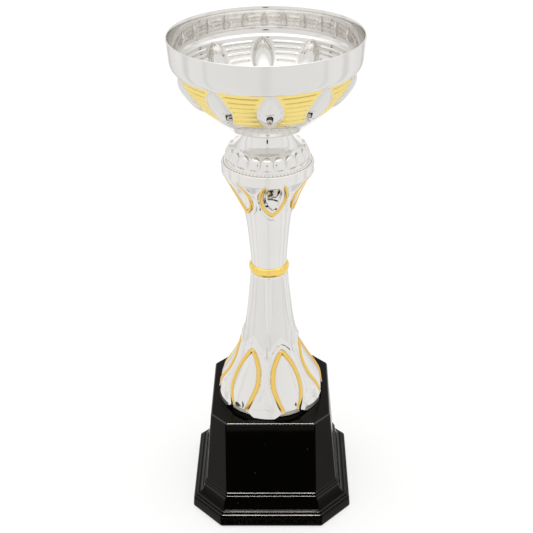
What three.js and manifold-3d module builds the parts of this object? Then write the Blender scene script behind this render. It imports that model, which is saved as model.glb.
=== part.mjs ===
// A cup trophy: a shallow pressed bowl on a fluted collar, a two-part moulded riser joined by a
// gilt ring, and a weighted octagonal plinth. One threaded rod runs from the cap nut inside the
// bowl down to the nut under the ballast and clamps the whole stack together.
//
// Millimetres, +Z up, origin at the middle of the underside. The front of the plinth faces -Y.

import * as THREE from 'three';
import { mergeVertices } from 'three/addons/utils/BufferGeometryUtils.js';
import Module from 'manifold-3d';

const wasm = await Module();
wasm.setup();

// ---------------------------------------------------------------- driving dimensions

const GAP = 0.3; // space left between pieces that touch or are clamped together
const OVERALL_HEIGHT = 285;

const FOOT_HALF = 47.75; // half width across the flats of the plinth's foot
const FOOT_CORNER_HALF = 55; // the same across its cut corners
const FOOT_HEIGHT = 8.4; // straight lower edge of the foot
const BLOCK_BASE_Z = 18;
const BLOCK_TOP_Z = 67.1;
const BLOCK_BASE_HALF = 39;
const BLOCK_BASE_CORNER_HALF = 46.2;
const BLOCK_TOP_HALF = 34.75;
const BLOCK_TOP_CORNER_HALF = 42.65;
const PLINTH_WALL = 3;
const PLINTH_TOP_THICKNESS = 4;

const RISER_BASE_RADIUS = 31.5;
const WAIST_RADIUS = 10.4; // lower riser where it meets the ring
const RISER_WALL = 2;
const LOWER_RISER_TOP_Z = 150.1;
const RING_RADIUS = 11.2;
const RING_TOP_Z = 155.2;
const LEDGE_Z = 216.5; // flat top of the upper riser
const LIP_RADIUS = 24.8;

const COLLAR_TOP_Z = 235.8;
const COLLAR_RADIUS = 22;
const FLUTE_COUNT = 20;
const FLUTE_DEPTH = 0.5;
const BEAD_RING_RADIUS = 22.7; // centre line of the beaded edge
const BEAD_RADIUS = 0.8;

const BOWL_RADIUS = 50;
const BOWL_SHEET = 0.8;
const BOWL_BOTTOM_Z = 237.4;
const BOWL_FLAT_RADIUS = 19.5;
const BOWL_LEDGE_Z = 269.2; // step between the embossed zone and the plain band

const ROD_RADIUS = 3; // M6
const HOLE_RADIUS = ROD_RADIUS + GAP;
const ROD_BOTTOM_Z = 5;
const NUT_FLATS = 10;
const NUT_HEIGHT = 5;
const WASHER_RADIUS = 9;
const WASHER_THICKNESS = 1.6;
const SPRING_WASHER_RADIUS = 5.6;

const BOSS_RADIUS = 9;
const BOSS_END_Z = 44; // the plinth's centre boss hangs down to here
const BALLAST_HALF = 30;
const BALLAST_BOTTOM_Z = 16;
const BALLAST_TOP_Z = 28;
const BOARD_HALF = 43;
const BOARD_CORNER_HALF = 49.6;
const BOARD_THICKNESS = 2.5;
const FELT_THICKNESS = 1;

const ROUND_SEGMENTS = 36;
const BOWL_SEGMENTS = 48;
const SMALL_SEGMENTS = 16;

// ---------------------------------------------------------------- finishes

const finish = (color, roughness, metalness) =>
  new THREE.MeshStandardMaterial({ color, roughness, metalness });

const SILVER = finish(0xe4e2dd, 0.06, 1);
const GILT = finish(0xf2cb5e, 0.14, 1);
const BLACK_GLOSS = finish(0x070605, 0.1, 0);
const ZINC = finish(0xb9bcbf, 0.35, 1);
const IRON = finish(0x37373a, 0.75, 0.6);
const NYLON = finish(0xe6e3d8, 0.5, 0);
const RUBBER = finish(0x1b1b1c, 0.85, 0);
const BOARD = finish(0x2c2018, 0.8, 0);
const FELT = finish(0x16181b, 0.95, 0);

// ---------------------------------------------------------------- helpers

const at = (r, z) => new THREE.Vector2(r, z);

// A closed profile of (radius, height) points turned about Z.
function turned(profile, segments = ROUND_SEGMENTS) {
  const geometry = new THREE.LatheGeometry([...profile, profile[0]], segments);
  return geometry.rotateX(Math.PI / 2);
}

// A profile that starts and ends on the axis, turned with four flat sides. Its radii are half
// widths across those flats, and turn is the angle of the first flat.
function foursquare(profile, turn) {
  const corners = profile.map((p) => at(p.x * Math.SQRT2, p.y));
  const geometry = new THREE.LatheGeometry(corners, 4, Math.PI / 4);
  return geometry.rotateX(Math.PI / 2).rotateZ(turn);
}

function toSolid(geometry) {
  const bare = geometry.clone();
  bare.deleteAttribute('normal');
  bare.deleteAttribute('uv');
  const merged = mergeVertices(bare, 1e-4);
  const index = merged.index.array;
  const triangles = [];
  for (let i = 0; i < index.length; i += 3) {
    const [a, b, c] = index.slice(i, i + 3);
    if (a !== b && b !== c && c !== a) triangles.push(a, b, c);
  }
  const vertProperties = new Float32Array(merged.attributes.position.array);
  const triVerts = new Uint32Array(triangles);
  return new wasm.Manifold(new wasm.Mesh({ numProp: 3, vertProperties, triVerts }));
}

function toGeometry(solid) {
  const { vertProperties, triVerts } = solid.getMesh();
  const geometry = new THREE.BufferGeometry();
  geometry.setAttribute('position', new THREE.BufferAttribute(vertProperties, 3));
  geometry.setIndex(new THREE.BufferAttribute(triVerts, 1));
  geometry.computeVertexNormals();
  return geometry;
}

// An octagonal piece: one four-sided solid for the flats cut by another for the corners.
function octagonal(flatProfile, cornerProfile) {
  return toSolid(foursquare(flatProfile, 0)).intersect(toSolid(foursquare(cornerProfile, Math.PI / 4)));
}

function octagonalPlate(half, cornerHalf, bottom, top) {
  const side = (width) => [at(0, bottom), at(width, bottom), at(width, top), at(0, top)];
  return octagonal(side(half), side(cornerHalf));
}

// A plain round bar on the axis, for the rod hole and the bosses.
function bar(bottom, top, radius = HOLE_RADIUS) {
  const profile = [at(0, bottom), at(radius, bottom), at(radius, top), at(0, top)];
  return toSolid(new THREE.LatheGeometry(profile, SMALL_SEGMENTS).rotateX(Math.PI / 2));
}

// The same line moved sideways by a sheet's thickness, along its own normals.
function offsetLine(points, distance) {
  return points.map((point, i) => {
    const before = points[Math.max(i - 1, 0)];
    const after = points[Math.min(i + 1, points.length - 1)];
    const along = after.clone().sub(before).normalize();
    return at(point.x - along.y * distance, point.y + along.x * distance);
  });
}

const narrowed = (points, wall) => points.map((p) => at(p.x - wall, p.y));

function mesh(name, geometry, material, z = 0) {
  const piece = new THREE.Mesh(geometry, material);
  piece.name = name;
  piece.position.z = z;
  return piece;
}

// ---------------------------------------------------------------- plinth

// Outline of the plinth on one side, from the axis under the foot to the axis on the top: a
// straight foot with a rounded edge, a hollow slope, a small step, and the tapered block.
function plinthOutline(foot, base, top) {
  const edge = 1.6;
  const draft = 0.9; // how far the foot leans in over its height
  const slopeTop = base + 1.6;
  const rounding = 1.8;
  const edgeTop = foot - draft - edge;
  const outline = new THREE.Path();
  outline.moveTo(0, 0);
  outline.lineTo(foot, 0);
  outline.lineTo(foot - draft, FOOT_HEIGHT - edge);
  outline.quadraticCurveTo(foot - draft, FOOT_HEIGHT, edgeTop, FOOT_HEIGHT + 0.5);
  outline.quadraticCurveTo(slopeTop + 1.3, FOOT_HEIGHT + 2.2, slopeTop, BLOCK_BASE_Z - 2.6);
  outline.lineTo(slopeTop, BLOCK_BASE_Z - 1);
  outline.lineTo(base, BLOCK_BASE_Z);
  outline.lineTo(top, BLOCK_TOP_Z - rounding);
  outline.quadraticCurveTo(top, BLOCK_TOP_Z, top - rounding, BLOCK_TOP_Z);
  outline.lineTo(0, BLOCK_TOP_Z);
  return outline.getPoints(4);
}

// Outline of the moulded hollow: a rebate for the bottom board, then the thin-walled inside.
function hollowOutline(rebate, foot, base, top) {
  const rebateTop = FELT_THICKNESS + BOARD_THICKNESS + 2 * GAP;
  return [
    at(0, -1),
    at(rebate, -1),
    at(rebate, rebateTop),
    at(foot - 2 * PLINTH_WALL, rebateTop),
    at(foot - 2 * PLINTH_WALL, FOOT_HEIGHT - 1),
    at(base - PLINTH_WALL, BLOCK_BASE_Z - 2),
    at(top - PLINTH_WALL, BLOCK_TOP_Z - PLINTH_TOP_THICKNESS),
    at(0, BLOCK_TOP_Z - PLINTH_TOP_THICKNESS),
  ];
}

function plinth() {
  const body = octagonal(
    plinthOutline(FOOT_HALF, BLOCK_BASE_HALF, BLOCK_TOP_HALF),
    plinthOutline(FOOT_CORNER_HALF, BLOCK_BASE_CORNER_HALF, BLOCK_TOP_CORNER_HALF),
  );
  const hollow = octagonal(
    hollowOutline(BOARD_HALF + GAP, FOOT_HALF, BLOCK_BASE_HALF, BLOCK_TOP_HALF),
    hollowOutline(
      BOARD_CORNER_HALF + GAP,
      FOOT_CORNER_HALF,
      BLOCK_BASE_CORNER_HALF,
      BLOCK_TOP_CORNER_HALF,
    ),
  );
  const roof = BLOCK_TOP_Z - PLINTH_TOP_THICKNESS / 2;
  const boss = bar(BOSS_END_Z, roof, BOSS_RADIUS);
  // Four ribs stand between the boss and the walls; the ballast is clamped against their ends.
  const ribBottom = BALLAST_TOP_Z + GAP;
  const ribWidth = 2;
  let ribs = boss;
  for (const turn of [0, Math.PI / 2]) {
    const long = new THREE.BoxGeometry(2 * BLOCK_TOP_HALF, ribWidth, roof - ribBottom);
    long.translate(0, 0, (roof + ribBottom) / 2).rotateZ(turn);
    ribs = ribs.add(toSolid(long));
  }
  const nutPocket = bar(ribBottom - 1, BOSS_END_Z, WASHER_RADIUS + 2);
  const inside = ribs.subtract(nutPocket);
  const hole = bar(-1, BLOCK_TOP_Z + 1);
  return toGeometry(body.subtract(hollow).add(inside).subtract(hole));
}

function ballast() {
  const block = octagonalPlate(BALLAST_HALF, BALLAST_HALF * 1.15, BALLAST_BOTTOM_Z, BALLAST_TOP_Z);
  return toGeometry(block.subtract(bar(BALLAST_BOTTOM_Z - 1, BALLAST_TOP_Z + 1)));
}

// ---------------------------------------------------------------- riser

function lowerRiser() {
  const bottom = BLOCK_TOP_Z + GAP;
  const flare = new THREE.SplineCurve([
    at(RISER_BASE_RADIUS, 71),
    at(29.2, 79),
    at(24.5, 86),
    at(20.2, 94),
    at(16.8, 102.5),
  ]);
  const column = new THREE.SplineCurve([
    at(16.8, 102.5),
    at(14.5, 115),
    at(12.5, 130),
    at(WAIST_RADIUS, LOWER_RISER_TOP_Z),
  ]);
  const webBottom = LOWER_RISER_TOP_Z - 3;
  const outside = [
    at(RISER_BASE_RADIUS, bottom),
    ...flare.getPoints(6),
    ...column.getPoints(4).slice(1),
  ];
  const inside = narrowed(outside, RISER_WALL).filter((p) => p.y < webBottom - 4);
  return turned([
    ...outside,
    at(HOLE_RADIUS, LOWER_RISER_TOP_Z),
    at(HOLE_RADIUS, webBottom),
    at(WAIST_RADIUS - RISER_WALL, webBottom),
    ...inside.reverse(),
  ]);
}

// Centres the open foot of the lower riser on the rod.
function locatingDisc() {
  const radius = RISER_BASE_RADIUS - RISER_WALL - GAP;
  return turned([
    at(HOLE_RADIUS, 0),
    at(radius, 0),
    at(radius, 3),
    at(8, 3),
    at(6, 12),
    at(HOLE_RADIUS, 12),
  ]);
}

// A half-round gilt ring around a thin web, which the two risers grip between them.
function joiningRing() {
  const bottom = LOWER_RISER_TOP_Z + GAP;
  const webTop = bottom + 1.6;
  const middle = (bottom + RING_TOP_Z) / 2;
  const bulge = new THREE.EllipseCurve(10.2, middle, RING_RADIUS - 10.2, middle - bottom,
    -Math.PI / 2, Math.PI / 2);
  return turned([at(HOLE_RADIUS, bottom), ...bulge.getPoints(8), at(10.2, webTop), at(HOLE_RADIUS, webTop)]);
}

function upperRiser() {
  const bottom = LOWER_RISER_TOP_Z + 1.6 + 2 * GAP;
  const flank = new THREE.SplineCurve([
    at(9.9, bottom + 3),
    at(10.4, 163),
    at(12.1, 181),
    at(14.7, 193),
    at(19.2, 202.8),
    at(24.4, 211),
  ]);
  const outside = [at(9.6, bottom), ...flank.getPoints(9), at(LIP_RADIUS, 213)];
  const lip = [at(LIP_RADIUS, LEDGE_Z - 0.7), at(LIP_RADIUS - 0.7, LEDGE_Z)];
  const webBottom = LEDGE_Z - 4;
  const inside = narrowed(outside, RISER_WALL).filter((p) => p.y < webBottom - 3);
  return turned([
    ...outside,
    ...lip,
    at(HOLE_RADIUS, LEDGE_Z),
    at(HOLE_RADIUS, webBottom),
    at(21, webBottom),
    ...inside.reverse(),
  ]);
}

// ---------------------------------------------------------------- collar

// A bell-shaped cover with a beaded edge. Shallow flutes fade out towards its neck.
function collar() {
  const bottom = LEDGE_Z + GAP;
  const bead = new THREE.EllipseCurve(BEAD_RING_RADIUS, bottom + BEAD_RADIUS, BEAD_RADIUS, BEAD_RADIUS,
    -Math.PI / 2, Math.PI * 0.75);
  const bell = new THREE.SplineCurve([
    at(COLLAR_RADIUS, 219),
    at(21.2, 221.2),
    at(18.1, 225),
    at(15, 229),
    at(12.8, 233),
    at(11.5, COLLAR_TOP_Z),
  ]);
  const webBottom = COLLAR_TOP_Z - 1.8;
  const segments = 3 * FLUTE_COUNT;
  const geometry = turned([
    ...bead.getPoints(5),
    ...bell.getPoints(7),
    at(HOLE_RADIUS, COLLAR_TOP_Z),
    at(HOLE_RADIUS, webBottom),
    at(10.2, webBottom),
    at(16.4, 225),
    at(20.3, 220),
    at(20.3, bottom),
  ], segments);
  const place = geometry.attributes.position;
  const vertex = new THREE.Vector3();
  for (let i = 0; i < place.count; i += 1) {
    vertex.fromBufferAttribute(place, i);
    const radius = Math.hypot(vertex.x, vertex.y);
    const fade = THREE.MathUtils.clamp((224.5 - vertex.z) / 3, 0, 1);
    const fluted = vertex.z > 219.5 && radius > 16.6 ? fade : 0;
    const wave = 0.5 - 0.5 * Math.cos(FLUTE_COUNT * Math.atan2(vertex.y, vertex.x));
    const scale = 1 - (fluted * FLUTE_DEPTH * wave) / radius;
    place.setXY(i, vertex.x * scale, vertex.y * scale);
  }
  return geometry;
}

// ---------------------------------------------------------------- bowl

function bowl() {
  const cup = new THREE.SplineCurve([
    at(21.6, 238.1),
    at(28.6, 244),
    at(37, 253),
    at(43.4, 262),
    at(46, BOWL_LEDGE_Z),
  ]);
  const band = new THREE.SplineCurve([
    at(47.8, BOWL_LEDGE_Z + 0.6),
    at(49, 272.4),
    at(49.4, 277),
    at(BOWL_RADIUS, OVERALL_HEIGHT),
  ]);
  const outside = [
    at(HOLE_RADIUS, BOWL_BOTTOM_Z),
    at(BOWL_FLAT_RADIUS, BOWL_BOTTOM_Z),
    ...cup.getPoints(7),
    ...band.getPoints(4),
  ];
  const inside = offsetLine(outside, BOWL_SHEET);
  inside[0].x = HOLE_RADIUS;
  inside[inside.length - 1].y = OVERALL_HEIGHT;
  return turned([...outside, ...inside.reverse()], BOWL_SEGMENTS);
}

// ---------------------------------------------------------------- fasteners

function washer(radius, thickness) {
  return turned([at(HOLE_RADIUS, 0), at(radius, 0), at(radius, thickness), at(HOLE_RADIUS, thickness)],
    SMALL_SEGMENTS);
}

// A square-section ring with a slit at the back.
function springWasher() {
  const half = Math.PI - 0.2;
  const ring = new THREE.Shape();
  ring.absarc(0, 0, SPRING_WASHER_RADIUS, -half, half, false);
  ring.absarc(0, 0, HOLE_RADIUS, half, -half, true);
  return new THREE.ExtrudeGeometry(ring, { depth: WASHER_THICKNESS, bevelEnabled: false, curveSegments: 16 });
}

function hexagon(flats, height) {
  const outline = new THREE.Shape();
  for (let i = 0; i < 6; i += 1) {
    const angle = (i * Math.PI) / 3;
    const radius = flats / Math.sqrt(3);
    const draw = i === 0 ? 'moveTo' : 'lineTo';
    outline[draw](radius * Math.cos(angle), radius * Math.sin(angle));
  }
  return toSolid(new THREE.ExtrudeGeometry(outline, { depth: height, bevelEnabled: false }));
}

// A round blank that chamfers a hexagon's corners.
function blank(profile) {
  return toSolid(new THREE.LatheGeometry(profile, SMALL_SEGMENTS).rotateX(Math.PI / 2));
}

function nut() {
  const corner = NUT_FLATS / Math.sqrt(3) + 0.1;
  const bevel = 0.5;
  const chamfered = hexagon(NUT_FLATS, NUT_HEIGHT).intersect(blank([
    at(0, 0),
    at(corner - 2 * bevel, 0),
    at(corner, bevel),
    at(corner, NUT_HEIGHT - bevel),
    at(corner - 2 * bevel, NUT_HEIGHT),
    at(0, NUT_HEIGHT),
  ]));
  return toGeometry(chamfered.subtract(bar(-1, NUT_HEIGHT + 1)));
}

const CAP_NUT_HEIGHT = 12;
const CAP_THREAD_DEPTH = 9;

function capNut() {
  const skirt = 5.5;
  const dome = new THREE.EllipseCurve(0, skirt, 4.75, CAP_NUT_HEIGHT - skirt, 0, Math.PI / 2);
  const domed = blank([at(0, 0), at(4.75, 0), ...dome.getPoints(6).slice(0, -1), at(0, CAP_NUT_HEIGHT)]);
  const corner = NUT_FLATS / Math.sqrt(3) + 0.1;
  const skirted = hexagon(NUT_FLATS, skirt).intersect(blank([
    at(0, 0),
    at(corner, 0),
    at(corner, skirt - 0.5),
    at(corner - 1, skirt),
    at(0, skirt),
  ]));
  return toGeometry(skirted.add(domed).subtract(bar(-1, CAP_THREAD_DEPTH)));
}

function rod(length) {
  const end = 0.6;
  const profile = [
    at(0, 0),
    at(ROD_RADIUS - end, 0),
    at(ROD_RADIUS, end),
    at(ROD_RADIUS, length - end),
    at(ROD_RADIUS - end, length),
    at(0, length),
  ];
  return new THREE.LatheGeometry(profile, SMALL_SEGMENTS).rotateX(Math.PI / 2);
}

// ---------------------------------------------------------------- assembly

const trophy = new THREE.Group();

const base = new THREE.Group();
const boardZ = FELT_THICKNESS + GAP;
base.add(
  mesh('felt_pad', toGeometry(octagonalPlate(BOARD_HALF, BOARD_CORNER_HALF, 0, FELT_THICKNESS)), FELT),
  mesh('bottom_board',
    toGeometry(octagonalPlate(BOARD_HALF, BOARD_CORNER_HALF, boardZ, boardZ + BOARD_THICKNESS)), BOARD),
  mesh('plinth', plinth(), BLACK_GLOSS),
  mesh('ballast_block', ballast(), IRON),
);

const risers = new THREE.Group();
risers.add(
  mesh('locating_disc', locatingDisc(), NYLON, BLOCK_TOP_Z + GAP),
  mesh('lower_riser', lowerRiser(), SILVER),
  mesh('joining_ring', joiningRing(), GILT),
  mesh('upper_riser', upperRiser(), SILVER),
  mesh('collar', collar(), SILVER),
);

// Under the ballast and under the plinth's boss: a plain washer, a spring washer and a nut, each
// hung below the last.
const fasteners = new THREE.Group();
for (const [place, top] of [['ballast', BALLAST_BOTTOM_Z], ['boss', BOSS_END_Z]]) {
  const washerZ = top - GAP - WASHER_THICKNESS;
  const springZ = washerZ - GAP - WASHER_THICKNESS;
  const nutZ = springZ - GAP - NUT_HEIGHT;
  fasteners.add(
    mesh(`${place}_washer`, washer(WASHER_RADIUS, WASHER_THICKNESS), ZINC, washerZ),
    mesh(`${place}_spring_washer`, springWasher(), ZINC, springZ),
    mesh(`${place}_nut`, nut(), ZINC, nutZ),
  );
}

// Below the bowl a rubber seat, inside it a nylon washer, a steel washer and the cap nut.
const padThickness = 0.8;
const padZ = BOWL_BOTTOM_Z + BOWL_SHEET + GAP;
const bowlWasherZ = padZ + padThickness + GAP;
const capNutZ = bowlWasherZ + WASHER_THICKNESS + GAP;
const seatThickness = BOWL_BOTTOM_Z - COLLAR_TOP_Z - 2 * GAP;
fasteners.add(
  mesh('bowl_seat', washer(10.5, seatThickness), RUBBER, COLLAR_TOP_Z + GAP),
  mesh('bowl_pad', washer(10, padThickness), NYLON, padZ),
  mesh('bowl_washer', washer(WASHER_RADIUS, WASHER_THICKNESS), ZINC, bowlWasherZ),
  mesh('cap_nut', capNut(), ZINC, capNutZ),
  mesh('tie_rod', rod(capNutZ + CAP_THREAD_DEPTH - 1 - ROD_BOTTOM_Z), ZINC, ROD_BOTTOM_Z),
);

const cup = new THREE.Group();
cup.add(mesh('bowl', bowl(), SILVER));

trophy.add(base, risers, fasteners, cup);

export default trophy;
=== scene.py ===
"""Finished surfaces for a cup trophy: a pressed silver bowl with a gilt band of ribs, a beaded
collar, a two-part silver riser with gilt arches, a gilt ring, and a gloss black plinth.

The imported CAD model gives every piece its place. Shapes are worked out in millimetres and turned
into metres when a mesh is made. Azimuths are in degrees from the plinth's front, -Y, towards +X.
"""

import math

import bpy
import numpy as np
from bpy.props import FloatProperty, FloatVectorProperty, IntProperty, PointerProperty
from mathutils import Matrix, Vector


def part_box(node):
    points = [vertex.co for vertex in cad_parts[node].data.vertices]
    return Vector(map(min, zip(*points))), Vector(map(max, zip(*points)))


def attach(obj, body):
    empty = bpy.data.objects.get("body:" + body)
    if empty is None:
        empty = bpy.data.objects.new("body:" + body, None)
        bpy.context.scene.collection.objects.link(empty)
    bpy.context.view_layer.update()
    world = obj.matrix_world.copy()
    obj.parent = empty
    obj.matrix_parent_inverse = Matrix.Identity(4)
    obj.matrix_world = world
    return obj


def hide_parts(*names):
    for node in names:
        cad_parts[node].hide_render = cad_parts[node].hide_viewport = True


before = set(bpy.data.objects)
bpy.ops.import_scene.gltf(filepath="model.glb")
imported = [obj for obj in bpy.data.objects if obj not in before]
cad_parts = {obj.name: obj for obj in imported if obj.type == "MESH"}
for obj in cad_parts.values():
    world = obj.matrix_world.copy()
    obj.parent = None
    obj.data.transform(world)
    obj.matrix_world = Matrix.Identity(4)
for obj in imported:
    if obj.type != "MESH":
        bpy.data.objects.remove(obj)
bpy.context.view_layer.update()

bl_info = {
    "name": "Cup Trophy",
    "version": (1, 0, 0),
    "blender": (4, 5, 0),
    "location": "3D View > Sidebar > Trophy",
    "description": "Builds the surfaces and finishes of a cup trophy round its CAD frame",
    "category": "Object",
}

MM = 0.001
BODY = "root"
SLIGHT_BEND = 14


# ---------------------------------------------------------------- sizes from the frame


def levels(node):
    """Lowest and highest z of a CAD node, in millimetres."""
    low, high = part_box(node)
    return low.z / MM, high.z / MM


def reach(node):
    """Largest x of a CAD node, in millimetres: its radius, or its half width across the flats."""
    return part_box(node)[1].x / MM


FOOT_HALF = reach("plinth")
PLINTH_TOP = levels("plinth")[1]
RISER_BOTTOM, RISER_TOP = levels("lower_riser")
RING_BOTTOM, RING_TOP = levels("joining_ring")
RING_RADIUS = reach("joining_ring")
UPPER_BOTTOM, LEDGE = levels("upper_riser")
LIP_RADIUS = reach("upper_riser")
COLLAR_BOTTOM, COLLAR_TOP = levels("collar")
BOWL_BOTTOM, BOWL_TOP = levels("bowl")
BOWL_RADIUS = reach("bowl")
HOLE_RADIUS = 3.3


# ---------------------------------------------------------------- settings


def length(name, description, millimetres):
    return FloatProperty(name=name, description=description, default=millimetres * MM, min=0.0,
                         precision=5, unit="LENGTH")


def turn(name, description, degrees):
    return FloatProperty(name=name, description=description, default=math.radians(degrees),
                         subtype="ANGLE", unit="ROTATION")


def share(name, description, value):
    return FloatProperty(name=name, description=description, default=value, min=0.0, max=1.0,
                         subtype="FACTOR")


def number(name, description, value):
    return IntProperty(name=name, description=description, default=value, min=1)


def colour(name, description, value):
    return FloatVectorProperty(name=name, description=description, default=value, size=3, min=0.0,
                               max=1.0, subtype="COLOR")


class BowlSettings(bpy.types.PropertyGroup):
    sheet: length("Sheet", "Thickness of the pressed sheet", 0.8)
    boss_count: number("Bosses", "Silver bosses round the bowl", 10)
    boss_turn: turn("Boss turn", "Azimuth of the front boss", 3.4)
    boss_rise: length("Boss rise", "How far a boss stands out", 2.0)
    groove_depth: length("Groove depth", "Depth of the grooves between the bosses", 0.75)
    groove_half: length("Groove half width", "Half the width of one groove", 0.75)
    groove_margin: length("Groove margin", "Plain gilt left between a groove's end and a boss", 2.2)


class RiserSettings(bpy.types.PropertyGroup):
    count: number("Repeats", "Arches and V's round each riser", 6)
    arch_turn: turn("Arch turn", "Azimuth of one gilt arch of the lower riser", 23.6)
    reed_turn: turn("Reed turn", "Azimuth of one reed of the lower riser", -2.4)
    vee_turn: turn("V turn", "Azimuth of one gilt V of the upper riser", 9.6)
    bead_half: length("Bead half width", "Half the width of the gilt bead of an arch", 1.35)
    bead_rise: length("Bead rise", "How far the gilt bead of an arch stands out", 0.95)
    vee_half: length("V half width", "Half the width of the gilt bead of a V", 1.1)
    vee_rise: length("V rise", "How far the gilt bead of a V stands out", 1.0)
    petal_rise: length("Petal rise", "How far a petal swells inside its bead", 0.35)
    reed_rise: length("Reed rise", "How far a reed stands out of the column", 0.5)
    foot_lift: length("Foot lift", "How far the foot is cut away under each arch", 3.9)


class CollarSettings(bpy.types.PropertyGroup):
    lobe_count: number("Lobes", "Rounded lobes round the shoulder", 20)
    lobe_rise: length("Lobe rise", "Height of a lobe above the grooves beside it", 1.1)
    bead_count: number("Beads", "Beads round the edge", 72)
    bead_rise: length("Bead rise", "Depth of the notch between two beads", 0.42)


class PlinthSettings(bpy.types.PropertyGroup):
    corner_round: length("Upright edges", "Rounding of the upright edges", 0.9)
    edge_round: length("Level edges", "Rounding of the level edges", 1.3)


class FinishSettings(bpy.types.PropertyGroup):
    silver: colour("Silver", "Silver plate of the bowl", (0.80, 0.787, 0.765))
    riser_silver: colour("Riser silver", "Silver plate of the risers", (0.84, 0.827, 0.806))
    bowl_gilt: colour("Bowl gilt", "Satin gilt of the bowl's ribs", (1.0, 0.81, 0.285))
    line_gilt: colour("Line gilt", "Gilt of the risers' beads", (0.95, 0.65, 0.16))
    ring_gilt: colour("Ring gilt", "Polished gilt of the joining ring", (1.0, 0.73, 0.195))
    black: colour("Black", "Gloss moulding of the plinth", (0.0014, 0.0012, 0.001))
    silver_roughness: share("Silver roughness", "Roughness of clean silver plate", 0.05)
    gilt_roughness: share("Gilt roughness", "Roughness of the gilt", 0.2)
    black_roughness: share("Black roughness", "Roughness of the plinth", 0.09)


class StageSettings(bpy.types.PropertyGroup):
    lens: FloatProperty(name="Lens", description="Focal length of the camera", default=67.9,
                        unit="CAMERA")
    distance: length("Distance", "Camera's distance in front of the rod", 488.1)
    height: length("Height", "Camera's height above the floor", 434.95)
    sideways: length("Sideways", "Camera's distance to the right", 9.42)
    pitch: turn("Pitch", "How far the camera looks down", 30.14)
    yaw: turn("Yaw", "How far the camera looks to the right", -1.278)
    roll: turn("Roll", "How far the camera leans", 0.911)
    surroundings: FloatProperty(name="Surroundings", description="Brightness of the light tent",
                                default=1.0, min=0.0)
    bar: FloatProperty(name="Bar", description="Power of the light bar over the trophy",
                       default=36.0, min=0.0, unit="POWER")


class TrophySettings(bpy.types.PropertyGroup):
    bowl: PointerProperty(type=BowlSettings)
    riser: PointerProperty(type=RiserSettings)
    collar: PointerProperty(type=CollarSettings)
    plinth: PointerProperty(type=PlinthSettings)
    finish: PointerProperty(type=FinishSettings)
    stage: PointerProperty(type=StageSettings)


def settings_of(context):
    return context.scene.cup_trophy


# ---------------------------------------------------------------- outlines


def spline(points, steps=8):
    """A smooth line through the points."""
    knots = np.array(points, float)
    padded = np.vstack([knots[:1], knots, knots[-1:]])
    t = np.linspace(0.0, 1.0, steps, endpoint=False)[:, None]
    spans = []
    for before, start, end, after in zip(padded, padded[1:], padded[2:], padded[3:]):
        leave = (end - before) / 2
        arrive = (after - start) / 2
        cubic = 2 * start - 2 * end + leave + arrive
        square = 3 * end - 3 * start - 2 * leave - arrive
        spans.append(((cubic * t + square) * t + leave) * t + start)
    return np.vstack([*spans, knots[-1:]])


def curve(start, pull, end, steps):
    """A bend from start to end, drawn towards pull."""
    start, pull, end = (np.array(point, float) for point in (start, pull, end))
    t = np.linspace(0.0, 1.0, steps + 1)[:, None]
    return (1 - t) ** 2 * start + 2 * t * (1 - t) * pull + t ** 2 * end


def arc(centre, radii, first, last, steps):
    """Part of an ellipse in the (radius, height) plane, by angle in degrees."""
    angle = np.radians(np.linspace(first, last, steps + 1))
    return np.stack([centre[0] + radii[0] * np.cos(angle), centre[1] + radii[1] * np.sin(angle)], 1)


def spaced(points, step):
    """The same line with evenly spaced points, about one step apart."""
    points = np.asarray(points, float)
    run = np.concatenate([[0.0], np.cumsum(np.linalg.norm(np.diff(points, axis=0), axis=1))])
    places = np.linspace(0.0, run[-1], max(2, round(run[-1] / step) + 1))
    return np.stack([np.interp(places, run, column) for column in points.T], 1)


def eased(points, radius, steps=4, support=0.25):
    """A closed line with its corners rounded, and a point just before and after each rounding.
    Bends of less than SLIGHT_BEND degrees stay as they are."""
    points = np.asarray(points, float)
    result = []
    for back, corner, ahead in zip(np.roll(points, 1, 0), points, np.roll(points, -1, 0)):
        back = back - corner
        ahead = ahead - corner
        back_length = np.linalg.norm(back)
        ahead_length = np.linalg.norm(ahead)
        straightness = -np.dot(back, ahead) / (back_length * ahead_length)
        if straightness > math.cos(math.radians(SLIGHT_BEND)):
            result.append(corner)
            continue
        cut = min(radius, 0.42 * back_length, 0.42 * ahead_length)
        beyond = cut * (1 + support)
        result.append(corner + back / back_length * beyond)
        result.extend(curve(corner + back / back_length * cut, corner,
                            corner + ahead / ahead_length * cut, steps))
        result.append(corner + ahead / ahead_length * beyond)
    return np.array(result)


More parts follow.
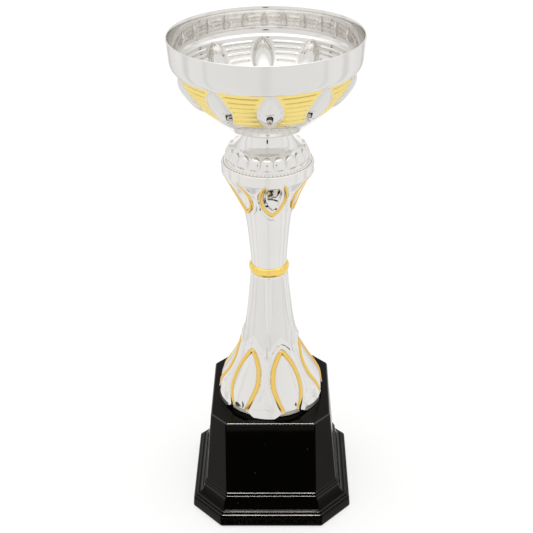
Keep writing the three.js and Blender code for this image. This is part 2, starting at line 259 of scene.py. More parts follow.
class Wall:
    """The outer wall of a turned piece: its radius, run along the wall and outward normal by
    height. The points go up the wall."""

    def __init__(self, points):
        self.r, self.z = np.asarray(points, float).T
        steps = np.hypot(np.diff(self.r), np.diff(self.z))
        self.run = np.concatenate([[0.0], np.cumsum(steps)])
        along_r = np.gradient(self.r, self.run)
        along_z = np.gradient(self.z, self.run)
        size = np.hypot(along_r, along_z)
        self.normal_r = along_z / size
        self.normal_z = -along_r / size

    def radius(self, z):
        return np.interp(z, self.z, self.r)

    def along(self, z):
        return np.interp(z, self.z, self.run)

    def raised(self, z, height):
        """(radius, height) of the wall at z, moved out along its normal."""
        r = self.radius(z) + height * np.interp(z, self.z, self.normal_r)
        return r, z + height * np.interp(z, self.z, self.normal_z)

    def distance(self, angle, z, line):
        """Distance along the wall from each point to a line of (half width, z) points, where
        angle is measured from the line's axis, and both sides are alike."""
        line = np.asarray(line, float)
        line_angle = line[:, 0] / self.radius(line[:, 1])
        line_run = self.along(line[:, 1])
        r = self.radius(z)
        run = self.along(z)
        nearest = np.full(np.broadcast(angle, z).shape, np.inf)
        for i in range(len(line) - 1):
            to_x = (line_angle[i] - angle) * r
            to_y = line_run[i] - run
            step_x = (line_angle[i + 1] - line_angle[i]) * r
            step_y = line_run[i + 1] - line_run[i]
            part = -(to_x * step_x + to_y * step_y) / (step_x ** 2 + step_y ** 2 + 1e-9)
            part = np.clip(part, 0.0, 1.0)
            gap = np.hypot(to_x + part * step_x, to_y + part * step_y)
            nearest = np.minimum(nearest, gap)
        return nearest


def ease(low, high, value):
    """0 below low, 1 above high, and a smooth rise between."""
    t = np.clip((value - low) / (high - low), 0.0, 1.0)
    return t * t * (3 - 2 * t)


def fall(low, high, value):
    """1 below low, 0 above high, and a smooth fall between."""
    return 1 - ease(low, high, value)


def swell(depth, width):
    """A cushion's height by the depth inside its outline: 0 at the outline, 1 from width in."""
    return 1 - (1 - np.clip(depth / width, 0.0, 1.0)) ** 2


def heights(start, *spans):
    """Heights of a turned piece's rows, as a column. Each span is (its end, its rows)."""
    rows = []
    for nth, (end, count) in enumerate(spans, 1):
        rows.append(np.linspace(start, end, count, endpoint=nth == len(spans)))
        start = end
    return np.concatenate(rows)[:, None]


def ridge(distance, half):
    """A rounded ridge's height by the distance from its line: 1 on the line, 0 from half away."""
    return np.clip(1 - (distance / half) ** 2, 0.0, 1.0)


def wedge(distance, half):
    """A sharp ridge's height by the distance from its line: 1 on the line, 0 from half away."""
    return np.clip(1 - distance / half, 0.0, 1.0)


def around(columns):
    """Azimuths of a turned piece's columns, as a row of radians."""
    return np.linspace(0.0, 2 * math.pi, columns, endpoint=False)[None, :]


def from_axis(azimuth, first, count):
    """Signed angle from each azimuth to the nearest of count evenly spaced axes."""
    pitch = 2 * math.pi / count
    return (azimuth - first + pitch / 2) % pitch - pitch / 2


# ---------------------------------------------------------------- meshes


def place(r, z, azimuth):
    """Points of a turned surface in millimetres. Azimuth 0 is the front."""
    r, z, azimuth = np.broadcast_arrays(r, z, azimuth)
    return np.stack([r * np.sin(azimuth), -r * np.cos(azimuth), z], -1)


def plain_rows(points, azimuth):
    """Rows of a turned surface that are the same all round."""
    points = np.asarray(points, float)
    return place(points[:, 0:1], points[:, 1:2], azimuth)


def grid_mesh(name, grid, sharp, marks=None):
    """A closed mesh from rows of points in millimetres. Rows join in a loop, and so do columns.
    sharp is the angle from which an edge is sharp, and marks are named values for each point."""
    rows, columns = grid.shape[:2]
    index = np.arange(rows * columns).reshape(rows, columns)
    right = np.roll(index, -1, axis=1)
    faces = np.stack([index, right, np.roll(right, -1, axis=0), np.roll(index, -1, axis=0)], -1)
    mesh = bpy.data.meshes.new(name)
    mesh.from_pydata((grid.reshape(-1, 3) * MM).tolist(), [], faces.reshape(-1, 4).tolist())
    for mark, values in (marks or {}).items():
        attribute = mesh.attributes.new(mark, "FLOAT", "POINT")
        attribute.data.foreach_set("value", values.astype(np.float32).ravel())
    mesh.shade_smooth()
    mesh.set_sharp_from_angle(angle=math.radians(sharp))
    mesh.validate()
    return mesh


def add_piece(name, mesh, material, slot, *nodes):
    """Links a finished piece, which stands for the CAD nodes and rides on the body."""
    mesh.materials.append(material)
    piece = bpy.data.objects.new(name, mesh)
    bpy.context.scene.collection.objects.link(piece)
    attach(piece, BODY)
    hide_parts(*nodes)


def turned(name, points, columns=96, rounding=0.2):
    """A plain round piece from a closed outline that goes up its outside."""
    outline = eased(points, rounding)
    return grid_mesh(name, plain_rows(outline, around(columns)), 40)


def padded(values, rows):
    """A mark's rows with rows of zeros after them."""
    return np.concatenate([values, np.zeros((rows, values.shape[1]))])


def box_outline(inner, outer, bottom, top):
    return [(inner, bottom), (outer, bottom), (outer, top), (inner, top)]


# ---------------------------------------------------------------- shader graphs


class Wire:
    """An output of a shader node. Arithmetic on wires adds Math nodes."""

    def __init__(self, graph, socket):
        self.graph = graph
        self.socket = socket

    def math(self, operation, *values):
        return self.graph.add("ShaderNodeMath", {"operation": operation}, dict(enumerate(values)))

    def __add__(self, other):
        return self.math("ADD", self, other)

    def __sub__(self, other):
        return self.math("SUBTRACT", self, other)

    def __rsub__(self, other):
        return self.math("SUBTRACT", other, self)

    def __mul__(self, other):
        return self.math("MULTIPLY", self, other)

    __radd__ = __add__
    __rmul__ = __mul__

    def rise(self, low, high):
        """0 where this is below low, 1 above high, and a straight rise between."""
        return self.graph.add("ShaderNodeMapRange", {"clamp": True},
                              {0: self, 1: low, 2: high, 3: 0.0, 4: 1.0})


class Graph:
    """Adds nodes to one shader tree."""

    def __init__(self, tree):
        self.tree = tree
        tree.nodes.clear()

    def add(self, kind, settings=None, sockets=None, output=0):
        node = self.tree.nodes.new(kind)
        for name, value in (settings or {}).items():
            setattr(node, name, value)
        for key, value in (sockets or {}).items():
            socket = node.inputs[key]
            if isinstance(value, Wire):
                self.tree.links.new(value.socket, socket)
            else:
                socket.default_value = value
        return Wire(self, node.outputs[output]) if node.outputs else None

    def place(self):
        """Position on the object, in metres."""
        return self.add("ShaderNodeTexCoord", output="Object")

    def split(self, vector):
        """The x, y and z of a vector."""
        first = self.add("ShaderNodeSeparateXYZ", None, {0: vector})
        return [Wire(self, output) for output in first.socket.node.outputs]

    def stretch(self, vector, factors):
        return self.add("ShaderNodeVectorMath", {"operation": "MULTIPLY"}, {0: vector, 1: factors})

    def noise(self, vector, size, detail=3.0, roughness=0.5):
        """Cloudy noise from 0 to 1, with features about size millimetres across."""
        return self.add("ShaderNodeTexNoise", None,
                        {"Vector": vector, "Scale": 1 / (size * MM), "Detail": detail,
                         "Roughness": roughness})

    def specks(self, vector, size):
        """Distance to the nearest of scattered points about size millimetres apart."""
        return self.add("ShaderNodeTexVoronoi", None, {"Vector": vector, "Scale": 1 / (size * MM)})

    def mark(self, name):
        """A value that the mesh carries at each point."""
        return self.add("ShaderNodeAttribute", {"attribute_name": name}, output="Fac")

    def mix(self, factor, first, second):
        """A colour between two others."""
        return self.add("ShaderNodeMix", {"data_type": "RGBA"}, {0: factor, 6: first, 7: second},
                        output=2)

    def bump(self, height, depth, below=None):
        """A normal bent by a height from 0 to 1, over a depth in millimetres."""
        sockets = {"Height": height, "Distance": depth * MM, "Strength": 1.0}
        if below:
            sockets["Normal"] = below
        return self.add("ShaderNodeBump", None, sockets)

    def surface(self, **sockets):
        """The material's surface. Socket names have underscores for spaces."""
        named = {key.replace("_", " "): value for key, value in sockets.items()}
        shader = self.add("ShaderNodeBsdfPrincipled", None, named)
        self.add("ShaderNodeOutputMaterial", None, {"Surface": shader})


def shared(name, make, *details):
    """The material with this name, made when it is first asked for."""
    return bpy.data.materials.get(name) or make(name, *details)


def new_material(name):
    material = bpy.data.materials.new(name)
    material.use_nodes = True
    return material, Graph(material.node_tree)


def opaque(rgb, factor=1.0):
    """A socket's colour from three parts, made lighter or darker by factor."""
    return (*(part * factor for part in rgb), 1.0)


def plate_material(name, silver, gilt, silver_roughness, gilt_roughness, gilt_grain):
    """Silver plate with gilt where the mesh's gilt mark is 1. The mesh's low mark darkens both as painted
    shade, and the polish has faint swirls and wipe marks."""
    material, graph = new_material(name)
    spot = graph.place()
    cloud = graph.noise(spot, 14.0, 4.0)
    grain = graph.noise(spot, 0.35, 2.0)
    ragged = graph.noise(spot, 0.9, 2.0)
    wipes = graph.noise(graph.stretch(spot, (1.0, 1.0, 9.0)), 3.0, 4.0)
    mask = (graph.mark("gilt") + (ragged - 0.5) * 0.35).rise(0.42, 0.58)
    low = graph.mark("low")
    # The low mark paints shade: it darkens the silver and the gilt in hollows, creases and on flanks.
    silver_colour = graph.mix(cloud.rise(0.35, 0.75), opaque(silver), opaque(silver, 0.97))
    silver_colour = graph.mix(low * 0.5, silver_colour, opaque(silver, 0.62))
    gilt_colour = graph.mix(grain.rise(0.3, 0.72), opaque(gilt, 0.93), opaque(gilt))
    gilt_painted_shade = (gilt[0] * 0.5, gilt[1] * 0.36, gilt[2] * 0.2, 1.0)
    gilt_colour = graph.mix(low * 0.75, gilt_colour, gilt_painted_shade)
    smudge = cloud.rise(0.45, 0.8) * 0.03 + wipes.rise(0.5, 0.8) * 0.02
    silver_rough = smudge + silver_roughness
    gilt_rough = grain * 0.08 + (gilt_roughness - 0.04)
    wave = graph.bump(graph.noise(spot, 5.0, 2.0), 0.018)
    graph.surface(
        Base_Color=graph.mix(mask, silver_colour, gilt_colour),
        Metallic=1.0,
        Roughness=silver_rough + (gilt_rough - silver_rough) * mask,
        Normal=graph.bump(grain * mask, gilt_grain, wave),
    )
    return material


def gilt_material(name, gilt, roughness):
    """Polished gilt with fine turning lines and duller patches."""
    material, graph = new_material(name)
    spot = graph.place()
    cloud = graph.noise(spot, 3.0, 4.0)
    lines = graph.noise(graph.stretch(spot, (1.0, 1.0, 14.0)), 1.4, 3.0)
    graph.surface(
        Base_Color=graph.mix(cloud.rise(0.35, 0.75), opaque(gilt), opaque(gilt, 0.9)),
        Metallic=1.0,
        Roughness=cloud.rise(0.4, 0.8) * 0.08 + roughness,
        Normal=graph.bump(lines, 0.012),
    )
    return material


def black_material(name, black, roughness):
    """Gloss black moulding: slow waves left by the mould, a little dust, dull worn corners, and
    a brighter polish on its rounded edges."""
    material, graph = new_material(name)
    spot = graph.place()
    haze = graph.noise(spot, 18.0, 5.0, 0.6)
    dust = 1 - graph.specks(spot, 5.5).rise(0.03, 0.05)
    dust = dust * graph.noise(spot, 9.0, 1.0).rise(0.5, 0.56)
    scuffs = graph.noise(graph.stretch(spot, (1.0, 1.0, 0.3)), 0.8, 4.0).rise(0.5, 0.75)
    scuffs = scuffs * graph.mark("edge")
    dull = graph.mix(dust, opaque(black), (0.10, 0.095, 0.085, 1.0))
    wave = graph.bump(graph.noise(spot, 22.0, 1.0), 0.16)
    graph.surface(
        Base_Color=graph.mix(scuffs * 0.5, dull, (0.03, 0.028, 0.025, 1.0)),
        Roughness=haze.rise(0.3, 0.8) * 0.05 + dust * 0.4 + scuffs * 0.12 + roughness,
        Specular_IOR_Level=0.075,
        Specular_Tint=(1.0, 0.9, 0.8, 1.0),
        Coat_Weight=graph.mark("crest") * (1 - scuffs),
        Coat_Roughness=0.06,
        Normal=graph.bump(graph.noise(spot, 0.9, 2.0), 0.0025, wave),
    )
    return material


def zinc_material(name):
    """Bright zinc on turned steel, with the coating's faint blue and yellow bloom."""
    material, graph = new_material(name)
    spot = graph.place()
    bloom = graph.noise(spot, 2.5, 4.0)
    lines = graph.noise(graph.stretch(spot, (1.0, 1.0, 12.0)), 0.8, 3.0)
    tint = graph.mix(bloom.rise(0.35, 0.7), (0.66, 0.69, 0.74, 1.0), (0.74, 0.71, 0.62, 1.0))
    graph.surface(
        Base_Color=tint,
        Metallic=1.0,
        Roughness=lines * 0.16 + bloom * 0.08 + 0.16,
        Normal=graph.bump(lines, 0.02),
    )
    return material


def iron_material():
    """Sand-cast iron under a thin coat of black, with rust where the coat is broken."""
    material, graph = new_material("cast_iron")
    spot = graph.place()
    sand = graph.noise(spot, 0.7, 5.0, 0.65)
    patches = graph.noise(spot, 9.0, 5.0, 0.6)
    rust = (patches + sand * 0.3).rise(0.74, 0.86)
    graph.surface(
        Base_Color=graph.mix(rust, (0.035, 0.035, 0.038, 1.0), (0.16, 0.06, 0.025, 1.0)),
        Metallic=(1 - rust) * 0.6,
        Roughness=rust * 0.25 + sand * 0.15 + 0.5,
        Normal=graph.bump(sand, 0.25),
    )
    return material


def moulded_material(name, light, dark, roughness, grain, depth, **extra):
    """A plain moulded material with a fine surface grain and slow colour changes."""
    material, graph = new_material(name)
    spot = graph.place()
    cloud = graph.noise(spot, 6.0, 4.0)
    fine = graph.noise(spot, grain, 3.0)
    graph.surface(
        Base_Color=graph.mix((cloud + fine * 0.5).rise(0.45, 1.0), opaque(light), opaque(dark)),
        Roughness=cloud * 0.12 + (roughness - 0.06),
        Normal=graph.bump(fine, depth),
        **extra,
    )
    return material


def board_material():
    """Hardboard: pressed dark fibres that cross at random."""
    material, graph = new_material("hardboard")
    spot = graph.place()
    along = graph.noise(graph.stretch(spot, (1.0, 7.0, 1.0)), 2.2, 5.0, 0.6)
    across = graph.noise(graph.stretch(spot, (6.0, 1.0, 1.0)), 1.8, 5.0, 0.6)
    fibres = along.math("MAXIMUM", along, across)
    graph.surface(
        Base_Color=graph.mix(fibres.rise(0.4, 0.75), (0.03, 0.018, 0.011, 1.0), (0.09, 0.055, 0.032, 1.0)),
        Roughness=fibres * 0.2 + 0.6,
        Normal=graph.bump(fibres, 0.08),
    )
    return material


def felt_material():
    """Pressed black felt: tangled fibres, paler where they stand up, with a soft sheen."""
    material, graph = new_material("felt")
    spot = graph.place()
    tangle = graph.noise(spot, 0.5, 6.0, 0.7)
    clumps = graph.noise(spot, 3.0, 4.0)
    fuzz = tangle * 0.7 + clumps * 0.3
    graph.surface(
        Base_Color=graph.mix(fuzz.rise(0.35, 0.7), (0.006, 0.006, 0.008, 1.0), (0.032, 0.033, 0.038, 1.0)),
        Roughness=fuzz * 0.1 + 0.88,
        Sheen_Weight=0.35,
        Sheen_Roughness=0.5,
        Normal=graph.bump(fuzz, 0.35),
    )
    return material


# ---------------------------------------------------------------- plinth and what it holds


def octagon(flat, corner, z, rounding):
    """One level of an octagonal piece: half widths across its flats and its cut corners."""
    points = []
    for side in range(8):
        widths = (flat, corner) if side % 2 == 0 else (corner, flat)
        angles = (side * math.pi / 4, (side + 1) * math.pi / 4)
        rows = [[math.cos(angle), math.sin(angle)] for angle in angles]
        points.append(np.linalg.solve(rows, widths))
    outline = eased(points, rounding, 5, 0.35)
    return np.column_stack([outline, np.full(len(outline), z)])


def octagonal(name, profile, rounding):
    """A piece from (flat, corner, z) levels that go up its outside and down its inside."""
    rows = [octagon(flat, corner, z, rounding) for flat, corner, z in profile]
    return grid_mesh(name, np.array(rows), 32)


# Half widths across the flats and across the cut corners.
FOOT = (FOOT_HALF, 55.0)
BLOCK_BASE = (39.0, 46.2)
BLOCK_TOP = (34.75, 42.65)
PLINTH_CEILING = PLINTH_TOP - 4.0
CENTRE_BOSS_END = 44.0
CENTRE_BOSS_RADIUS = 9.0


def plinth_levels(edge):
    """Levels of the plinth: a straight foot with a rounded edge, a hollow slope, two fine steps,
    the tapered block, and the moulded hollow under it."""

    def level(half_widths, beyond, z):
        flat, corner = half_widths
        return np.array([flat + beyond, corner + beyond, z])

    foot = curve(level(FOOT, -0.5, 6.2), level(FOOT, -0.65, 7.6), level(FOOT, -2.0, 7.75), 5)
    bead = curve(level(FOOT, -2.3, 8.0), level(FOOT, -2.35, 8.9), level(FOOT, -3.3, 9.0), 5)
    slope = curve(level(FOOT, -4.1, 9.1), level(BLOCK_BASE, 2.6, 10.6), level(BLOCK_BASE, 1.75, 15.0), 10)
    lower_step = curve(level(BLOCK_BASE, 1.7, 16.0), level(BLOCK_BASE, 1.7, 16.9),
                       level(BLOCK_BASE, 0.9, 16.95), 5)
    upper_step = curve(level(BLOCK_BASE, 0.85, 17.8), level(BLOCK_BASE, 0.8, 18.6),
                       level(BLOCK_BASE, 0.1, 18.7), 5)
    block = [level(BLOCK_BASE, 0.0, 19.2), level(BLOCK_TOP, 0.0, PLINTH_TOP)]
    outside = [level(FOOT, 0.0, 0.0), *foot, *bead, *slope, *lower_step, *upper_step, *block]
    hollow = [
        (HOLE_RADIUS, HOLE_RADIUS, PLINTH_TOP),
        (HOLE_RADIUS, HOLE_RADIUS, CENTRE_BOSS_END),
        (CENTRE_BOSS_RADIUS, CENTRE_BOSS_RADIUS, CENTRE_BOSS_END),
        (CENTRE_BOSS_RADIUS, CENTRE_BOSS_RADIUS, PLINTH_CEILING),
        (31.75, 39.65, PLINTH_CEILING),
        (36.0, 43.2, 16.0),
        (41.75, 49.0, 7.4),
        (41.75, 49.0, 4.1),
        (43.3, 49.9, 4.1),
        (43.3, 49.9, 0.0),
    ]
    return eased([*outside, *hollow], edge, 7, 0.3)


def build_plinth(context):
    settings = settings_of(context)
    rounding = settings.plinth.corner_round / MM
    profile = plinth_levels(settings.plinth.edge_round / MM)
    rows = np.array([octagon(flat, corner, z, rounding) for flat, corner, z in profile])
    width = np.max(np.abs(rows[:, :, :2]), axis=(1, 2))
    wear = ease(0.4, 1.0, width / FOOT_HALF) * np.exp(-rows[:, 0, 2] / 5.0)
    steps = np.roll(profile, -1, 0) - profile
    heading = np.arctan2(steps[:, 2], steps[:, 0])
    bend = np.abs((heading - np.roll(heading, 1) + math.pi) % (2 * math.pi) - math.pi)
    crest = ease(math.radians(8), math.radians(11), bend) * (profile[:, 0] > 32.0)
    marks = {key: np.repeat(row[:, None], rows.shape[1], 1) for key, row in
             (("edge", wear), ("crest", crest))}
    finish = settings.finish
    material = black_material("plinth_gloss", finish.black, finish.black_roughness)
    mesh = grid_mesh("plinth", rows, 50, marks)
    add_piece("plinth_body", mesh, material, "plinth_black", "plinth")


def plate_levels(half, corner, bottom, top, edge):
    """Levels of a flat octagonal plate with eased edges, closed over the axis."""
    tiny = 0.02
    points = [(tiny, tiny, bottom), (half, corner, bottom), (half, corner, top), (tiny, tiny, top)]
    return eased(points, edge, 4, 0.3)


def build_underside(context):
    for node, part, slot, material, edge, rounding in (
        ("felt_pad", "cloth", "felt", felt_material(), 0.35, 1.2),
        ("bottom_board", "panel", "board", board_material(), 0.2, 0.8),
    ):
        name = f"{node}_{part}"
        mesh = octagonal(name, plate_levels(43.0, 49.6, *levels(node), edge), rounding)
        add_piece(name, mesh, material, slot, node)


def build_ballast(context):
    bottom, top = levels("ballast_block")
    hole = HOLE_RADIUS
    points = [(hole, hole, bottom), (30.0, 34.5, bottom), (30.0, 34.5, top), (hole, hole, top)]
    mesh = octagonal("ballast_casting", eased(points, 1.6, 5), 3.0)
    add_piece("ballast_casting", mesh, iron_material(), "ballast_iron", "ballast_block")


# ---------------------------------------------------------------- lower riser

RISER_COLUMNS = 600
PLATE_SHARP = 60
NECK_RADIUS = 10.4
ARCH_LINE = [
    (4.3, 69.0), (5.1, 72.0), (6.4, 75.5), (7.8, 80.5), (8.3, 85.5), (7.5, 90.0), (5.8, 95.0),
    (3.0, 100.0), (1.3, 102.4), (0.0, 103.6),
]
ARCH_TIP = ARCH_LINE[-1][1]
FOOT_BAND_TOP = 72.7
FOOT_CUT_TOP = 79.0
REED_HALF = 2.15
REED_TIP = 114.5
ORNAMENT_TOP = 113.5


def lower_wall():
    flare = spline([(31.5, RISER_BOTTOM), (30.4, 71.0), (28.5, 79.0), (24.5, 86.0), (20.2, 94.0),
                    (16.8, 102.5)])
    column = spline([(16.8, 102.5), (14.5, 115.0), (12.5, 130.0), (NECK_RADIUS, RISER_TOP)])
    return np.vstack([flare, column[1:]])


def foot_lift(angle, lift):
    """How far the foot's edge is cut away, by the angle from the arch's axis."""
    return lift * fall(5.0, 23.0, np.degrees(np.abs(angle)))


def reeds(wall, azimuth, z, riser, panel_bottom):
    """Height and painted shade of the reeds, which run down the column and end in a point, and of the
    hollow panels between them."""
    angle = from_axis(azimuth, riser.reed_turn, riser.count)
    half = REED_HALF * np.sqrt(np.clip((z - REED_TIP) / 13.0, 0.0, 1.0))
    gap = np.abs(angle) * wall.radius(z)
    strip = fall(half - 0.25, half + 0.25, gap)
    strip = strip * ease(REED_TIP, REED_TIP + 3.5, z) * fall(148.2, 149.2, z)
    panel = 1 - np.cos(angle * riser.count / 2) ** 2
    height = riser.reed_rise / MM * strip * (1.15 - 0.3 * (gap / REED_HALF) ** 2)
    height -= 0.22 * panel * ease(110.0, 118.0, z) * fall(145.0, 149.5, z)

    # The hollow panels are darkened a little as painted shade, and a thin dark outline is painted as shade
    # round each reed.
    panel_shade = ease(-0.2, 0.2, z - panel_bottom - 0.2) * fall(148.8, 149.4, z) * (1 - strip)
    outline = fall(0.1, 0.45, np.abs(gap - half)) * ease(116.0, 119.0, z) * fall(147.8, 148.6, z)
    return height, np.maximum(0.33 * panel_shade, 0.6 * outline)


def lower_relief(wall, azimuth, z, riser):
    """Height of the lower riser's ornament, its gilt and its painted shade, by azimuth and height."""
    off = np.abs(from_axis(azimuth, riser.arch_turn, riser.count))
    degrees = np.degrees(off)
    line = spline(ARCH_LINE, 5)
    gap = wall.distance(off, z, line)
    half = riser.bead_half / MM
    edge = np.interp(z, line[:, 1], line[:, 0]) / wall.radius(z)
    inside = (off < edge) & (z < ARCH_TIP)
    out = np.where(inside, 0.0, gap - half)

    # Each arch is a bead round a low petal, and both are lowest at the foot.
    bead = riser.bead_rise / MM * ridge(gap, half)
    height = bead * (0.4 + 0.6 * ease(70.0, 79.0, z))
    petal = riser.petal_rise / MM * swell(gap - half, 5.2)
    height += np.where(inside, petal * ease(70.0, 80.0, z), 0.0)

    # A border follows the outside of the bead and falls away into the hollow beside it.
    border_width = 2.1 + 1.9 * ease(92.0, 104.0, z)
    border = ease(0.0, 0.5, out) * fall(border_width - 0.3, border_width + 0.3, out)
    height += 0.38 * border * (out > 0) * ease(74.0, 83.0, z)

    # A raised chevron stands over each arch.
    under = np.interp(degrees, [0.0, 8.0, 14.0, 20.0, 24.0], [108.6, 107.3, 105.3, 103.0, 100.6])
    over = np.interp(degrees, [0.0, 8.0, 14.0, 19.0, 22.0], [112.7, 110.7, 108.9, 107.0, 104.6])
    chevron = ease(-0.3, 0.3, z - under) * fall(-0.3, 0.3, z - over) * fall(18.0, 23.5, degrees)
    height += 0.42 * chevron

    # Between two arches lies a hollow with a sharp crease down its middle.
    across = (math.pi / riser.count - off) * wall.radius(z)
    hollow = ease(border_width, border_width + 2.2, out) * fall(88.0, 94.0, z)
    height -= 0.4 * hollow * ease(72.0, 82.0, z)
    crease = wedge(across, 1.2) * ease(73.5, 79.5, z) * fall(79.5, 86.0, z)
    height += 0.5 * crease
    valley = wedge(across, 1.1) * ease(97.0, 101.0, z) * fall(106.0, 112.0, z)
    height -= 0.8 * valley

    # The plain band round the foot, under a thin curved line.
    band_top = FOOT_BAND_TOP + np.exp(-(across / 1.5) ** 2)
    band = fall(-0.25, 0.25, z - band_top) * ease(1.0, 3.0, out)
    height = height * (1 - band) + 0.12 * band
    seam = fall(0.12, 0.4, np.abs(z - band_top)) * ease(1.0, 3.0, out) * (z < 76.0)

    reed_height, reed_shade = reeds(wall, azimuth, z, riser, over)
    height += reed_height
    height *= ease(0.0, 0.5, z - RISER_BOTTOM) * fall(-1.0, 0.0, z - RISER_TOP)
    gilt = fall(half - 0.25, half + 0.15, gap) * ease(70.8, 71.6, z)
    # Painted shade on the bead's flanks, in the crease of each valley and round the reeds, with a dark line
    # along the top of the foot band.
    bead_shade = 0.6 * fall(0.0, 0.7, np.abs(gap - half))
    low = np.maximum.reduce([bead_shade, 1.2 * ease(0.55, 0.95, valley), 0.6 * seam, reed_shade])
    return height, gilt, low


def build_lower_riser(context):
    settings = settings_of(context)
    riser = settings.riser
    azimuth = around(RISER_COLUMNS)
    wall = Wall(lower_wall())
    z = heights(RISER_BOTTOM, (ORNAMENT_TOP, 122), (RISER_TOP - 0.4, 22))
    # Heights near the foot are pushed up to follow its cut edge.
    lift = foot_lift(from_axis(azimuth, riser.arch_turn, riser.count), riser.foot_lift / MM)
    z = z + lift * np.clip((FOOT_CUT_TOP - z) / (FOOT_CUT_TOP - RISER_BOTTOM), 0.0, 1.0)
    height, gilt, low = lower_relief(wall, azimuth, z, riser)
    outside = place(*wall.raised(z, height), azimuth)

    thickness = 2.0
    web = RISER_TOP - 3.0
    top = plain_rows([(NECK_RADIUS - 0.3, RISER_TOP), (HOLE_RADIUS, RISER_TOP), (HOLE_RADIUS, web),
                      (NECK_RADIUS - thickness, web)], azimuth)
    inner_z = np.linspace(web - 3.0, RISER_BOTTOM, 9)
    inner_r = wall.radius(inner_z) - thickness - 1.0 + ease(70.0, 80.0, inner_z)
    inside = plain_rows(np.stack([inner_r, inner_z], 1), azimuth)
    # Behind the cut edge a plain wall goes down to the plinth, darkened as painted shade.
    edge_z = z[:1]
    edge_r = wall.radius(edge_z)
    skirt = [place(edge_r - 1.5, RISER_BOTTOM, azimuth),
             place(edge_r - 1.4, edge_z + 0.02, azimuth),
             place(edge_r - 0.3, edge_z - 0.15 * (lift > 0.2), azimuth)]
    grid = np.concatenate([outside, top, inside, *skirt])
    marks = {key: padded(values, len(grid) - len(outside)) for key, values in
             (("gilt", gilt), ("low", low))}
    # The wall behind the cut edge is painted dark as shade under the arches.
    marks["low"][-len(skirt):] = 2.0
    mesh = grid_mesh("lower_riser", grid, PLATE_SHARP, marks)
    add_piece("lower_riser_shell", mesh, riser_material(settings), "riser_plate", "lower_riser")


def riser_material(settings):
    """The plate that both risers and the collar share."""
    finish = settings.finish
    return shared("riser_silver", plate_material, finish.riser_silver, finish.line_gilt,
                  finish.silver_roughness, finish.gilt_roughness, 0.006)


# ---------------------------------------------------------------- joining ring


def build_joining_ring(context):
    finish = settings_of(context).finish
    middle = (RING_BOTTOM + RING_TOP) / 2
    half = middle - RING_BOTTOM
    core = 10.0
    bulge = arc((core, middle), (RING_RADIUS - core, half), -90, 90, 24)
    web_top = RING_BOTTOM + 1.6
    outline = [(HOLE_RADIUS, RING_BOTTOM), *bulge, (core - 0.25, RING_TOP - 0.2), (core - 0.3, web_top),
               (HOLE_RADIUS, web_top)]
    mesh = grid_mesh("joining_ring", plain_rows(outline, around(256)), 50)
    material = gilt_material("ring_gilt", finish.ring_gilt, 0.11)
    add_piece("joining_ring_band", mesh, material, "gilt_plate", "joining_ring")


# ---------------------------------------------------------------- upper riser

VEE_LINE = [
    (5.0, 212.6), (5.9, 210.4), (6.7, 207.0), (6.95, 203.5), (6.3, 200.0), (4.9, 196.3), (3.0, 193.3),
    (0.0, 190.6),
]
VEE_PETAL = [
    (0.0, 193.8), (1.9, 196.4), (3.2, 199.4), (4.0, 202.8), (4.2, 206.0), (3.8, 208.6), (2.6, 210.4),
    (0.0, 211.2),
]
VEE_TIP = VEE_LINE[-1][1]
PETAL_TOP = VEE_PETAL[-1][1]


def upper_wall():
    bottom = UPPER_BOTTOM
    flank = spline([(9.9, bottom + 3.0), (10.4, 163.0), (12.1, 181.0), (14.7, 193.0), (19.2, 202.8),
                    (24.4, 211.0)])
    lip = curve((24.4, 211.0), (24.85, 211.9), (LIP_RADIUS, 213.0), 4)
    return np.vstack([[(9.6, bottom)], flank, lip[1:], [(LIP_RADIUS, LEDGE - 0.7)]])


def upper_relief(wall, azimuth, z, riser):
    """Height of the upper riser's ornament, its gilt and its painted shade, by azimuth and height."""
    off = np.abs(from_axis(azimuth, riser.vee_turn, riser.count))
    line = spline(VEE_LINE, 5)
    gap = wall.distance(off, z, line)
    taper = 1 - 0.45 * ease(208.5, 212.8, z)
    half = riser.vee_half / MM * taper
    vee_rise = riser.vee_rise / MM * (1 - 0.85 * ease(201.0, 212.0, z))
    height = vee_rise * ridge(gap, half)

    petal_line = spline(VEE_PETAL, 5)
    petal_gap = wall.distance(off, z, petal_line)
    order = petal_line[:, 1].argsort()
    edge = np.interp(z, petal_line[order, 1], petal_line[order, 0], 0.0, 0.0)
    inside = off * wall.radius(z) < edge
    # A petal is full at the V's point, sinks to its middle and rises again above it.
    petal = 0.45 - 0.95 * ease(193.0, 203.6, z) + 0.5 * ease(203.0, PETAL_TOP, z)
    height += np.where(inside, petal * ease(0.0, 0.8, petal_gap), 0.0)

    # A low border follows the outside of the V.
    arm = np.interp(z, line[::-1, 1], line[::-1, 0], 0.0, 0.0)
    outside = (off * wall.radius(z) > arm) | (z < VEE_TIP)
    out = np.where(outside, gap - half, 0.0)
    border = ease(0.0, 0.4, out) * fall(1.7, 2.3, out) * fall(208.0, 211.0, z)
    height += 0.22 * border
    # Shallow hollows between the V's run up to small pointed niches under the lip.
    across = (math.pi / riser.count - off) * wall.radius(z)
    niche = wedge(across, 1.0 + 1.1 * np.clip(z - 205.0, 0.0, 7.0))
    niche = niche * ease(204.5, 207.0, z) * fall(211.2, 211.8, z)
    height -= 0.5 * ease(0.0, 0.5, niche)

    fade = ease(UPPER_BOTTOM, UPPER_BOTTOM + 2.0, z) * fall(212.4, 213.0, z)
    gilt = fall(half - 0.2, half + 0.15, gap) * fall(212.3, 212.8, z)
    # Painted shade round each petal, along the bead's flanks and in the niches under the lip.
    low = fall(0.0, 0.4, petal_gap) + fall(0.0, 0.4, np.abs(gap - half))
    low = np.maximum(0.45 * np.clip(low, 0.0, 1.0), 1.2 * ease(0.1, 0.8, niche))
    return height * fade, gilt, low


